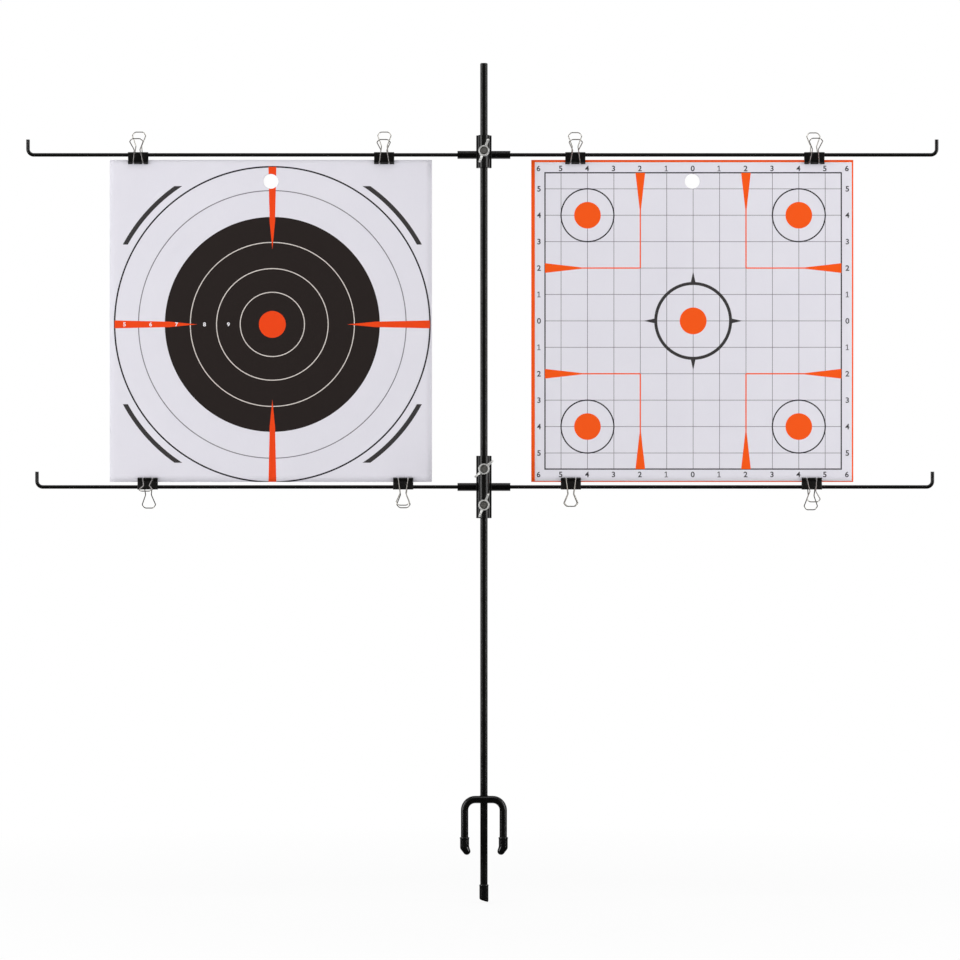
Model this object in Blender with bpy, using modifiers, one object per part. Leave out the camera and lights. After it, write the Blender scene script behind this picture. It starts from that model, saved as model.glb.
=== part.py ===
"""A target stand for a shooting or throwing range, in metres, +Z up, front towards -Y.

A round post in two lengths is pushed into the ground with a welded step bar. Two clamp brackets
hold it together and carry four thin arms, and spring clips hang two square card targets on them.
The origin is on the post's axis at ground level, level with the underside of the step bar.
"""

from math import atan2, cos, pi, radians, sin, sqrt, tan

import bmesh
import bpy
from mathutils import Matrix, Vector

# Fits. Pieces that touch on the real stand keep TOUCH between their faces.
TOUCH = 0.0003
POST_PLAY = 0.0003
ARM_PLAY = 0.0003
WIRE_PLAY = 0.00015

# Post and stake
POST_DIAMETER = 0.0071
STAKE_DEPTH = 0.0939
STAKE_TIP_ANGLE = radians(17)
POST_ABOVE_BRACKET = 0.0680
POST_END_CHAMFER = 0.0006

# Step bar, a round bar bent into a U and welded across the front of the post
STEP_BAR_DIAMETER = 0.0071
STEP_BAR_SPACING = 0.0365
STEP_BAR_BEND = 0.0100
PRONG_DEPTH = 0.0474
PRONG_HOOK_LENGTH = 0.0055
PRONG_HOOK_ANGLE = radians(28)
PRONG_HOOK_BEND = 0.0060

# Soft vinyl caps on the stake and on the two prongs
CAP_WALL = 0.0005
STAKE_CAP_LENGTH = 0.0168
PRONG_CAP_LENGTH = 0.0155
CAP_FLOOR = 0.0009
CAP_EDGE = 0.0006

# Clamp brackets, a flanged plate with a half-round rib that the post passes through
BRACKET_WALL = 0.0019
BRACKET_EDGE = 0.0004
FLANGE_THICKNESS = 0.0030
FLANGE_REACH = 0.0015
UPPER_BRACKET_HEIGHT = 0.0309
LOWER_BRACKET_HEIGHT = 0.0590
LOWER_SCREW_SPREAD = 0.0170
LOWER_ARM_HEIGHT = 0.2982

# Cross tubes, which the arms plug into. The upper one is welded on below its bracket's middle.
TUBE_WALL = 0.00175
TUBE_LENGTH = 0.0500
UPPER_TUBE_DROP = 0.0025

# Wing screws
SCREW_DIAMETER = 0.0064
SCREW_PLAY = 0.0002
SCREW_STAND_OFF = 0.0016
HUB_LENGTH = 0.0085
HUB_BASE_DIAMETER = 0.0104
HUB_FACE_DIAMETER = 0.0098
HUB_RECESS = 0.0008
WING_SPAN = 0.0240
WING_THICKNESS = 0.0020
WING_FOOT = 0.0010
WING_SHOULDER = 0.0022
WING_ELBOW_DROP = 0.0032
WING_RISE = 0.0045
WING_SADDLE_RISE = 0.0013
WING_TIP_TAPER = 0.0010
WING_BEND = 0.0019
WING_EDGE = 0.0003
UPPER_WING_ANGLE = radians(69)
LOWER_TOP_WING_ANGLE = radians(42)
LOWER_BOTTOM_WING_ANGLE = radians(68)

# Arms, straight rods with an upturned end. Each is pushed into its tube by its own amount, so its
# inner end is at its own distance from the post's axis.
ARM_DIAMETER = 0.0035
ARM_LENGTH = 0.4200
ARM_HOOK_HEIGHT = 0.0145
ARM_HOOK_BEND = 0.0055
UPPER_LEFT_ARM_START = 0.0115
UPPER_RIGHT_ARM_START = 0.0085
LOWER_LEFT_ARM_START = 0.0030
LOWER_RIGHT_ARM_START = 0.0045

# Card targets, each with a round hanging hole near its top edge
SHEET_SIDE = 0.3048
SHEET_THICKNESS = 0.0004
SHEET_TO_ARM = 0.0030
LEFT_SHEET_INSET = 0.0492
RIGHT_SHEET_INSET = 0.0448
HANG_HOLE_DIAMETER = 0.0140
HANG_HOLE_DROP = 0.0203

# Spring clips
CLIP_WIDTH = 0.0190
CLIP_DEPTH = 0.0113
CLIP_SPINE = 0.0090
CLIP_CORNER = 0.0009
CLIP_WALL = 0.0004
CLIP_ROLL_SWEEP = radians(285)
CLIP_SLOT_SIDE_GAP = 0.0003
CLIP_SLOT_HEAD_GAP = 0.0007

# Wire handles of the clips
WIRE_DIAMETER = 0.0010
HANDLE_LENGTH = 0.0330
HANDLE_FOOT = 0.0034
HANDLE_ROOT_SPREAD = 0.0092
HANDLE_NECK_SPREAD = 0.0054
HANDLE_NECK_HEIGHT = 0.0178
HANDLE_LOOP_WIDTH = 0.0128
HANDLE_LOOP_DROP = 0.0042
HANDLE_CROWN_WIDTH = 0.0080
HANDLE_ROOT_BEND = 0.0007
HANDLE_NECK_BEND = 0.0040
HANDLE_LOOP_BEND = 0.0020
HANDLE_CROWN_BEND = 0.0030

# Where each clip sits, measured from the nearer upright edge of its card, and how far each of
# its handles leans away from the card.
CLIPS = {
    "upper_left_outer": (0.0268, radians(49), radians(21)),
    "upper_left_inner": (0.0452, radians(51), radians(21)),
    "upper_right_inner": (0.0417, radians(51), radians(23)),
    "upper_right_outer": (0.0369, radians(48), radians(24)),
    "lower_left_outer": (0.0358, radians(69), radians(31)),
    "lower_left_inner": (0.0272, radians(40), radians(32)),
    "lower_right_inner": (0.0375, radians(37), radians(36)),
    "lower_right_outer": (0.0393, radians(48), radians(25)),
}

# Worked out from the sizes above
post_radius = POST_DIAMETER / 2
post_bore_radius = post_radius + POST_PLAY
rib_radius = post_bore_radius + BRACKET_WALL
arm_radius = ARM_DIAMETER / 2
tube_bore_radius = arm_radius + ARM_PLAY
tube_radius = tube_bore_radius + TUBE_WALL
arm_plane = rib_radius + TOUCH + tube_radius
step_bar_radius = STEP_BAR_DIAMETER / 2
step_bar_plane = -(post_radius + TOUCH + step_bar_radius)
screw_radius = SCREW_DIAMETER / 2
screw_bore_radius = screw_radius + SCREW_PLAY
hub_back = -(rib_radius + SCREW_STAND_OFF)
hub_front = hub_back - HUB_LENGTH
axis_to_sheet = arm_radius + SHEET_TO_ARM
upper_arm_height = LOWER_ARM_HEIGHT + SHEET_SIDE + 2 * axis_to_sheet
upper_bracket_middle = upper_arm_height + UPPER_TUBE_DROP
post_top = upper_bracket_middle + UPPER_BRACKET_HEIGHT / 2 + POST_ABOVE_BRACKET
wire_radius = WIRE_DIAMETER / 2
roll_radius = wire_radius + WIRE_PLAY + CLIP_WALL / 2
spine_height = arm_radius + TOUCH + CLIP_WALL / 2
roll_centre_height = spine_height + CLIP_WALL / 2 - CLIP_DEPTH + CLIP_WALL / 2 + roll_radius
jaw_tip_offset = SHEET_THICKNESS / 2 + TOUCH + CLIP_WALL / 2

# How finely round shapes are drawn, and which edges count as sharp
EDGE_ANGLE = radians(50)
SMOOTH_ANGLE = radians(35)
ROUND_SIDES = 24
ROD_SIDES = 16
ARM_SIDES = 12
WIRE_SIDES = 8
BEND_STEP = radians(22.5)
WIRE_BEND_STEP = radians(45)
RIB_STEPS = 12
ROLL_STEPS = 7
LONGEST_BEND = 0.45


def clear_scene():
    for old in list(bpy.data.objects):
        bpy.data.objects.remove(old, do_unlink=True)


def collection(name, hidden=False):
    made = bpy.data.collections.new(name)
    bpy.context.scene.collection.children.link(made)
    made.hide_render = hidden
    return made


clear_scene()
stand = collection("target_stand")
cutters = collection("cutters", hidden=True)


def finish(name, colour, roughness, metallic):
    """A plain material with the piece's colour."""
    material = bpy.data.materials.new(name)
    material.use_nodes = True
    shader = material.node_tree.nodes["Principled BSDF"]
    shader.inputs["Base Color"].default_value = (*colour, 1)
    shader.inputs["Roughness"].default_value = roughness
    shader.inputs["Metallic"].default_value = metallic
    return material


FINISHES = {
    "rod_paint": ((0.010, 0.010, 0.010), 0.35, 0.0),
    "bracket_paint": ((0.012, 0.012, 0.012), 0.40, 0.0),
    "vinyl": ((0.006, 0.006, 0.006), 0.50, 0.0),
    "zinc": ((0.62, 0.62, 0.60), 0.35, 1.0),
    "screw_steel": ((0.20, 0.20, 0.20), 0.45, 1.0),
    "clip_steel": ((0.014, 0.013, 0.012), 0.35, 0.3),
    "wire": ((0.60, 0.59, 0.55), 0.25, 1.0),
    "card": ((0.74, 0.73, 0.77), 0.60, 0.0),
}


def dress(obj, kind):
    """Gives the object a material of its own, of one of the kinds above."""
    obj.data.materials.clear()
    obj.data.materials.append(finish(obj.name, *FINISHES[kind]))
    obj.data.shade_smooth()
    obj.data.set_sharp_from_angle(angle=SMOOTH_ANGLE)
    return obj


def place(obj, into=stand):
    for owner in list(obj.users_collection):
        owner.objects.unlink(obj)
    into.objects.link(obj)
    return obj


def empty(name, location, turn=Matrix()):
    """A marker that carries pieces, such as the place of one clip."""
    marker = bpy.data.objects.new(name, None)
    marker.matrix_world = Matrix.Translation(location) @ turn.to_4x4()
    marker.empty_display_size = 0.01
    return place(marker)


def as_mesh(curve_object):
    """The curve object as a mesh object with its caps welded on, in the same place."""
    bpy.context.view_layer.update()
    graph = bpy.context.evaluated_depsgraph_get()
    mesh = bpy.data.meshes.new_from_object(curve_object.evaluated_get(graph))
    solid = bmesh.new()
    solid.from_mesh(mesh)
    bmesh.ops.remove_doubles(solid, verts=solid.verts, dist=1e-6)
    bmesh.ops.recalc_face_normals(solid, faces=solid.faces)
    solid.to_mesh(mesh)
    solid.free()
    name = curve_object.name
    matrix = curve_object.matrix_world.copy()
    owner = curve_object.users_collection[0]
    bpy.data.objects.remove(curve_object, do_unlink=True)
    obj = bpy.data.objects.new(name, mesh)
    obj.matrix_world = matrix
    owner.objects.link(obj)
    return obj


def rounded_path(corners, step=BEND_STEP):
    """Points along straight runs joined by arcs. Each corner is (point, bend radius)."""
    points = [Vector(corners[0][0])]
    for before, (corner, radius), after in zip(corners, corners[1:-1], corners[2:]):
        corner = Vector(corner)
        towards = Vector(before[0]) - corner
        onwards = Vector(after[0]) - corner
        run = LONGEST_BEND * min(towards.length, onwards.length)
        half = towards.angle(onwards) / 2
        run = min(run, radius / tan(half))
        towards.normalize()
        onwards.normalize()
        centre = corner + (towards + onwards).normalized() * (run / cos(half))
        start = corner + towards * run - centre
        bend = pi - 2 * half
        steps = max(1, round(bend / step))
        for i in range(steps + 1):
            turn = Matrix.Rotation(-bend * i / steps, 3, towards.cross(onwards))
            points.append(centre + turn @ start)
    points.append(Vector(corners[-1][0]))
    return points


def wire(name, points, radius, sides):
    """A round bar along the points, with closed ends."""
    curve = bpy.data.curves.new(name, "CURVE")
    curve.dimensions = "3D"
    curve.bevel_depth = radius
    curve.bevel_resolution = (sides - 4) // 2
    curve.use_fill_caps = True
    spline = curve.splines.new("POLY")
    spline.points.add(len(points) - 1)
    for slot, point in zip(spline.points, points):
        slot.co = (*point, 1)
    return as_mesh(place(bpy.data.objects.new(name, curve)))


def arc(radius, start, sweep, steps):
    """Points on a circle about the origin, without the last one of the sweep."""
    angles = [start + sweep * i / steps for i in range(steps)]
    return [(radius * cos(angle), radius * sin(angle)) for angle in angles]


def circle(radius):
    return arc(radius, 0, 2 * pi, ROUND_SIDES)


def slab(name, outlines, thickness, turn=Matrix(), location=(0, 0, 0)):
    """Flat closed outlines, the later ones holes, made into a plate of this thickness."""
    curve = bpy.data.curves.new(name, "CURVE")
    curve.dimensions = "2D"
    curve.fill_mode = "BOTH"
    curve.extrude = thickness / 2
    for outline in outlines:
        spline = curve.splines.new("POLY")
        spline.points.add(len(outline) - 1)
        for slot, (x, y) in zip(spline.points, outline):
            slot.co = (x, y, 0, 1)
        spline.use_cyclic_u = True
    obj = place(bpy.data.objects.new(name, curve))
    obj.matrix_world = Matrix.Translation(location) @ turn.to_4x4()
    return as_mesh(obj)


def rod(name, radius, bottom, top, top_radius=None):
    """An upright cylinder or cone between two heights, on the Z axis."""
    mesh = bpy.data.meshes.new(name)
    solid = bmesh.new()
    bmesh.ops.create_cone(
        solid,
        cap_ends=True,
        segments=ROUND_SIDES,
        radius1=radius,
        radius2=radius if top_radius is None else top_radius,
        depth=top - bottom,
        matrix=Matrix.Translation((0, 0, (top + bottom) / 2)),
    )
    solid.to_mesh(mesh)
    solid.free()
    return place(bpy.data.objects.new(name, mesh))


def block(name, low, high):
    """A block between two corners, for cutting with."""
    low, high = Vector(low), Vector(high)
    mesh = bpy.data.meshes.new(name)
    solid = bmesh.new()
    bmesh.ops.create_cube(
        solid,
        size=1,
        matrix=Matrix.Translation((low + high) / 2) @ Matrix.Diagonal((*(high - low), 1)),
    )
    solid.to_mesh(mesh)
    solid.free()
    return place(bpy.data.objects.new(name, mesh), cutters)


def combine(obj, other, operation):
    """Adds a Boolean of another object, which is kept only as a hidden cutter."""
    other.hide_render = True
    other.display_type = "WIRE"
    place(other, cutters)
    step = obj.modifiers.new(other.name, "BOOLEAN")
    step.operation = operation
    step.object = other
    step.solver = "EXACT"
    return obj


def soften(obj, width):
    """Breaks the object's sharp edges."""
    step = obj.modifiers.new("broken_edges", "BEVEL")
    step.width = width
    step.segments = 1
    step.limit_method = "ANGLE"
    step.angle_limit = EDGE_ANGLE
    return obj


# Post, in two lengths that meet halfway up the lower bracket
stake_end = -STAKE_DEPTH + CAP_FLOOR + TOUCH
slope = tan(STAKE_TIP_ANGLE)
lower_post = rod("lower_post", post_radius, stake_end - post_radius, LOWER_ARM_HEIGHT - TOUCH / 2)
upper_post = rod("upper_post", post_radius, LOWER_ARM_HEIGHT + TOUCH / 2, post_top)
soften(upper_post, POST_END_CHAMFER)


def slanted_cut(name, height, reach):
    """A block that takes away all below a plane that falls towards +X through this height."""
    cutter = block(name, (-reach, -reach, -reach), (reach, reach, 0))
    cutter.matrix_world = Matrix.Translation((0, 0, height)) @ Matrix.Rotation(
        STAKE_TIP_ANGLE, 4, "Y"
    )
    return cutter


cap_radius = post_radius + TOUCH + CAP_WALL
cut_reach = 4 * cap_radius
tip_rise = cap_radius * slope
combine(lower_post, slanted_cut("stake_point", stake_end + tip_rise, cut_reach), "DIFFERENCE")
dress(lower_post, "rod_paint")
dress(upper_post, "rod_paint")

# Vinyl cap on the stake. Its floor follows the slanted end of the post.
stake_cap_top = -STAKE_DEPTH + STAKE_CAP_LENGTH
stake_cap = rod("stake_cap", cap_radius, -STAKE_DEPTH - cap_radius, stake_cap_top)
cap_bore = rod(
    "stake_cap_bore", post_radius + TOUCH, -2 * STAKE_DEPTH, stake_cap_top + STAKE_CAP_LENGTH
)
floor_height = -STAKE_DEPTH + CAP_FLOOR + tip_rise
combine(cap_bore, slanted_cut("stake_cap_floor", floor_height, 4 * STAKE_DEPTH), "DIFFERENCE")
combine(stake_cap, cap_bore, "DIFFERENCE")
combine(stake_cap, slanted_cut("stake_cap_end", -STAKE_DEPTH + tip_rise, cut_reach), "DIFFERENCE")
dress(stake_cap, "vinyl")

# Step bar. Its prongs hook inwards at the bottom, where each wears a cap.
step_bar_height = step_bar_radius
prong_x = STEP_BAR_SPACING / 2
hook_x = prong_x - PRONG_HOOK_LENGTH * sin(PRONG_HOOK_ANGLE)
hook_start = -PRONG_DEPTH + CAP_FLOOR + PRONG_HOOK_LENGTH * cos(PRONG_HOOK_ANGLE)
step_bar_corners = [
    ((-hook_x, step_bar_plane, -PRONG_DEPTH + CAP_FLOOR), 0),
    ((-prong_x, step_bar_plane, hook_start), PRONG_HOOK_BEND),
    ((-prong_x, step_bar_plane, step_bar_height), STEP_BAR_BEND),
    ((prong_x, step_bar_plane, step_bar_height), STEP_BAR_BEND),
    ((prong_x, step_bar_plane, hook_start), PRONG_HOOK_BEND),
    ((hook_x, step_bar_plane, -PRONG_DEPTH + CAP_FLOOR), 0),
]
step_bar = wire("step_bar", rounded_path(step_bar_corners), step_bar_radius, ROD_SIDES)
dress(step_bar, "rod_paint")


def prong_cap(name, side):
    """A cap whose bore follows the hooked end of a prong. side is -1 on the left and 1 right."""
    down = Vector((-side * sin(PRONG_HOOK_ANGLE), 0, -cos(PRONG_HOOK_ANGLE)))
    prong_end = Vector((side * hook_x, step_bar_plane, -PRONG_DEPTH + CAP_FLOOR))
    bend = Vector((side * prong_x, step_bar_plane, hook_start))
    mouth = Vector((side * prong_x, step_bar_plane, -PRONG_DEPTH + PRONG_CAP_LENGTH))
    above = mouth + Vector((0, 0, PRONG_CAP_LENGTH))
    outside = [(mouth, 0), (bend, PRONG_HOOK_BEND), (prong_end + down * (TOUCH + CAP_FLOOR), 0)]
    inside = [(above, 0), (bend, PRONG_HOOK_BEND), (prong_end + down * TOUCH, 0)]
    outer_radius = step_bar_radius + TOUCH + CAP_WALL
    cap = wire(name, rounded_path(outside), outer_radius, ROD_SIDES)
    soften(cap, CAP_EDGE)
    bore = wire(name + "_bore", rounded_path(inside), step_bar_radius + TOUCH, ROD_SIDES)
    combine(cap, bore, "DIFFERENCE")
    return dress(cap, "vinyl")


prong_cap("left_prong_cap", -1)
prong_cap("right_prong_cap", 1)

# Clamp brackets. The section is a flat plate with a half-round rib and the post's bore.


def bracket_section():
    """The outline of a bracket seen from above, and the post's bore."""
    flange_front = rib_radius - FLANGE_THICKNESS
    half_width = rib_radius + FLANGE_REACH
    rib_edge = sqrt(rib_radius**2 - flange_front**2)
    start = atan2(flange_front, -rib_edge)
    rib = arc(rib_radius, start, 3 * pi - 2 * start, RIB_STEPS)
    right = [(rib_edge, flange_front), (half_width, flange_front), (half_width, rib_radius)]
    left = [(-half_width, rib_radius), (-half_width, flange_front)]
    return [rib + right + left, circle(post_bore_radius)]


ALONG_Y = Matrix.Rotation(pi / 2, 3, "X")


def screw_hole(name, height):
    """A hole along Y from in front of the rib into the post's bore."""
    hole = rod(name, screw_bore_radius, 0, 2 * rib_radius)
    hole.matrix_world = Matrix.Translation((0, 0, height)) @ ALONG_Y.to_4x4()
    return hole


def bracket(name, height, tall, screw_heights):
    obj = slab(name, bracket_section(), tall, location=(0, 0, height))
    soften(obj, BRACKET_EDGE)
    for number, screw_height in enumerate(screw_heights):
        combine(obj, screw_hole(f"{name}_hole_{number}", screw_height), "DIFFERENCE")
    return dress(obj, "bracket_paint")


lower_top_screw = LOWER_ARM_HEIGHT + LOWER_SCREW_SPREAD
lower_bottom_screw = LOWER_ARM_HEIGHT - LOWER_SCREW_SPREAD
bracket("upper_bracket", upper_bracket_middle, UPPER_BRACKET_HEIGHT, [upper_bracket_middle])
bracket(
    "lower_bracket",
    LOWER_ARM_HEIGHT,
    LOWER_BRACKET_HEIGHT,
    [lower_top_screw, lower_bottom_screw],
)

ALONG_X = Matrix.Rotation(pi / 2, 3, "Y")


def cross_tube(name, height):
    """The tube welded across the back of a bracket, which takes an arm at each end."""
    ring = [circle(tube_radius), circle(tube_bore_radius)]
    return dress(slab(name, ring, TUBE_LENGTH, ALONG_X, (0, arm_plane, height)), "bracket_paint")


cross_tube("upper_cross_tube", upper_arm_height)
cross_tube("lower_cross_tube", LOWER_ARM_HEIGHT)

# Wing screws. The stud ends just short of the post, and the cast wings are set on its head.


def wing_outline():
    """One ear of the wing, as distance from the screw's axis and distance from the hub's back."""
    tip = WING_SPAN / 2
    root = HUB_FACE_DIAMETER / 4
    shoulder = HUB_BASE_DIAMETER / 2 + WING_SHOULDER
    corners = [
        ((root, WING_FOOT, 0), 0),
        ((shoulder, WING_FOOT, 0), WING_BEND),
        ((tip, HUB_LENGTH - WING_ELBOW_DROP, 0), WING_BEND),
        ((tip - WING_TIP_TAPER, HUB_LENGTH + WING_RISE, 0), WING_BEND),
        ((shoulder, HUB_LENGTH + WING_SADDLE_RISE, 0), WING_BEND),
        ((root, HUB_LENGTH - WING_FOOT, 0), 0),
    ]
    return [(point.x, point.y) for point in rounded_path(corners, WIRE_BEND_STEP)]


def wing_screw(name, height, angle):
    """The stud and the winged head of one clamp screw, both on the screw's axis."""
    turn = ALONG_Y.to_4x4() @ Matrix.Rotation(angle, 4, "Z")
    stud = rod(name + "_stud", screw_radius, post_radius + TOUCH, -hub_front - HUB_RECESS)
    soften(stud, POST_END_CHAMFER)
    stud.matrix_world = Matrix.Translation((0, 0, height)) @ turn
    dress(stud, "screw_steel")
    head = rod(
        name + "_wings",
        HUB_BASE_DIAMETER / 2,
        -hub_back,
        -hub_front,
        top_radius=HUB_FACE_DIAMETER / 2,
    )
    head.matrix_world = stud.matrix_world
    for ear_name, way in (("_left_ear", pi), ("_right_ear", 0)):
        ear = slab(name + ear_name, [wing_outline()], WING_THICKNESS)
        stand_up = Matrix.Rotation(way, 4, "Z") @ Matrix.Rotation(pi / 2, 4, "X")
        ear.data.transform(Matrix.Translation((0, 0, -hub_back)) @ stand_up)
        ear.matrix_world = head.matrix_world
        combine(head, ear, "UNION")
    bore = rod(name + "_bore", screw_radius + SCREW_PLAY, 0, -2 * hub_front)
    bore.matrix_world = head.matrix_world
    combine(head, bore, "DIFFERENCE")
    soften(head, WING_EDGE)
    return dress(head, "zinc")


wing_screw("upper_clamp", upper_bracket_middle, UPPER_WING_ANGLE)
wing_screw("lower_clamp_top", lower_top_screw, LOWER_TOP_WING_ANGLE)
wing_screw("lower_clamp_bottom", lower_bottom_screw, LOWER_BOTTOM_WING_ANGLE)

# Arms


def arm(name, side, start, height):
    """A rod from inside the cross tube to its upturned end. Its origin is on its own axis."""
    hook = side * (start + ARM_LENGTH)
    corners = [
        ((side * start, 0, 0), 0),
        ((hook, 0, 0), ARM_HOOK_BEND),
        ((hook, 0, ARM_HOOK_HEIGHT), 0),
    ]
    obj = wire(name, rounded_path(corners), arm_radius, ARM_SIDES)
    obj.location = (0, arm_plane, height)
    return dress(obj, "rod_paint")


arm("upper_left_arm", -1, UPPER_LEFT_ARM_START, upper_arm_height)
arm("upper_right_arm", 1, UPPER_RIGHT_ARM_START, upper_arm_height)
arm("lower_left_arm", -1, LOWER_LEFT_ARM_START, LOWER_ARM_HEIGHT)
arm("lower_right_arm", 1, LOWER_RIGHT_ARM_START, LOWER_ARM_HEIGHT)

# Card targets
sheet_bottom = LOWER_ARM_HEIGHT + axis_to_sheet


def card(name, centre_x):
    half = SHEET_SIDE / 2
    square = [(-half, -half), (half, -half), (half, half), (-half, half)]
    hole = [(x, y + half - HANG_HOLE_DROP) for x, y in circle(HANG_HOLE_DIAMETER / 2)]
    centre = (centre_x, arm_plane, sheet_bottom + half)
    return dress(slab(name, [square, hole], SHEET_THICKNESS, ALONG_Y, centre), "card")


sheet_centres = {
    "left": -LEFT_SHEET_INSET - SHEET_SIDE / 2,
    "right": RIGHT_SHEET_INSET + SHEET_SIDE / 2,
}
for side_name, sheet_x in sheet_centres.items():
    card(side_name + "_target_card", sheet_x)

# Spring clips. One is described with its spine up, its arm's axis along X through the origin.
jaw_head = CLIP_SPINE / 2 - CLIP_WALL / 2
jaw_slope = atan2(jaw_head - jaw_tip_offset, spine_height - roll_centre_height)


def roll_centre():
    """The middle of the front jaw's rolled edge, as (y, z), which is the handle's axis."""
    return (-(jaw_tip_offset + roll_radius), roll_centre_height)


def clip_section():
    """The middle line of the bent steel strip, from one rolled edge over the spine to the other."""
    centre_y, centre_z = roll_centre()
    roll = []
    for step in range(ROLL_STEPS + 1):
        angle = jaw_slope - CLIP_ROLL_SWEEP * (1 - step / ROLL_STEPS)
        roll.append((centre_y + roll_radius * cos(angle), centre_z + roll_radius * sin(angle)))
    foot = Vector((0, *roll[-1]))
    corner = Vector((0, -jaw_head, spine_height))
    middle = Vector((0, 0, spine_height))
    bend = rounded_path([(foot, 0), (corner, CLIP_CORNER), (middle, 0)], WIRE_BEND_STEP)
    half = roll[:-1] + [(point.y, point.z) for point in bend[:-1]]
    return half + [(-y, z) for y, z in reversed(half)]


def clip_body(name, marker):
    """The strip drawn out to the clip's width, thickened, with slots for the handles' legs."""
    section = clip_section()
    mesh = bpy.data.meshes.new(name)
    solid = bmesh.new()
    ends = [
        [solid.verts.new((x, y, z)) for y, z in section]
        for x in (-CLIP_WIDTH / 2, CLIP_WIDTH / 2)
    ]
    for i in range(len(section) - 1):
        solid.faces.new((ends[0][i], ends[0][i + 1], ends[1][i + 1], ends[1][i]))
    solid.to_mesh(mesh)
    solid.free()
    obj = place(bpy.data.objects.new(name, mesh))
    obj.parent = marker
    thick = obj.modifiers.new("steel_thickness", "SOLIDIFY")
    thick.thickness = CLIP_WALL
    thick.offset = 0
    thick.use_even_offset = True
    _, centre_z = roll_centre()
    half_slot = wire_radius + CLIP_SLOT_SIDE_GAP
    head_height = centre_z + roll_radius + CLIP_SLOT_HEAD_GAP
    for number, leg_x in enumerate((-HANDLE_ROOT_SPREAD / 2, HANDLE_ROOT_SPREAD / 2)):
        low = (leg_x - half_slot, -CLIP_SPINE, -CLIP_DEPTH)
        high = (leg_x + half_slot, CLIP_SPINE, head_height)
        slot = block(f"{name}_slot_{number}", low, high)
        slot.parent = marker
        combine(obj, slot, "DIFFERENCE")
    return dress(obj, "clip_steel")


def handle_points():
    """The bent wire, from the foot in one rolled edge round the loop to the other foot."""
    root, neck = HANDLE_ROOT_SPREAD / 2, HANDLE_NECK_SPREAD / 2
    loop, crown = HANDLE_LOOP_WIDTH / 2, HANDLE_CROWN_WIDTH / 2
    half = [
        ((root + HANDLE_FOOT, 0, 0), 0),
        ((root, 0, 0), HANDLE_ROOT_BEND),
        ((neck, 0, HANDLE_NECK_HEIGHT), HANDLE_NECK_BEND),
        ((loop, 0, HANDLE_LENGTH - HANDLE_LOOP_DROP), HANDLE_LOOP_BEND),
        ((crown, 0, HANDLE_LENGTH - wire_radius), HANDLE_CROWN_BEND),
    ]
    other = [((-x, y, z), radius) for (x, y, z), radius in reversed(half)]
    return rounded_path(half + other, WIRE_BEND_STEP)


def handle(name, marker, lean, side):
    """A handle at its lean. side is -1 for the front jaw's handle and 1 for the back one's."""
    obj = wire(name, handle_points(), wire_radius, WIRE_SIDES)
    centre_y, centre_z = roll_centre()
    obj.parent = marker
    obj.location = (0, -side * centre_y, centre_z)
    obj.rotation_euler = (-side * lean, 0, 0)
    return dress(obj, "wire")


for clip_name, (from_edge, front_lean, back_lean) in CLIPS.items():
    level, side_name, edge = clip_name.split("_")
    outwards = -1 if side_name == "left" else 1
    edge_way = outwards if edge == "outer" else -outwards
    clip_x = sheet_centres[side_name] + edge_way * (SHEET_SIDE / 2 - from_edge)
    upper = level == "upper"
    clip_height = upper_arm_height if upper else LOWER_ARM_HEIGHT
    upright = Matrix.Rotation(0 if upper else pi, 3, "Y")
    place_of_clip = empty(clip_name + "_place", (clip_x, arm_plane, clip_height), upright)
    clip_body(clip_name + "_clip", place_of_clip)
    handle(clip_name + "_front_handle", place_of_clip, front_lean, -1)
    handle(clip_name + "_back_handle", place_of_clip, back_lean, 1)

bpy.context.view_layer.update()
nodes = [obj for obj in stand.objects if obj.type == "MESH"]
print(f"{len(nodes)} pieces, {post_top + STAKE_DEPTH:.4f} m from the stake's end to the post's top")
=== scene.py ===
# %% [markdown]
# # A target stand and its two cards
# The stand is a steel post on a stake, four thin arms, eight spring clips and two square cards.
# Its solids come packed, each in its place, so this lesson only makes what the eye looks for:
# printed cards, bent wire, cast wings, dipped caps, welds and the finish of each surface.

# %% Open the stand
from math import atan2, cos, pi, radians, sin, tan

import bmesh
import bpy
from mathutils import Matrix, Vector


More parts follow.
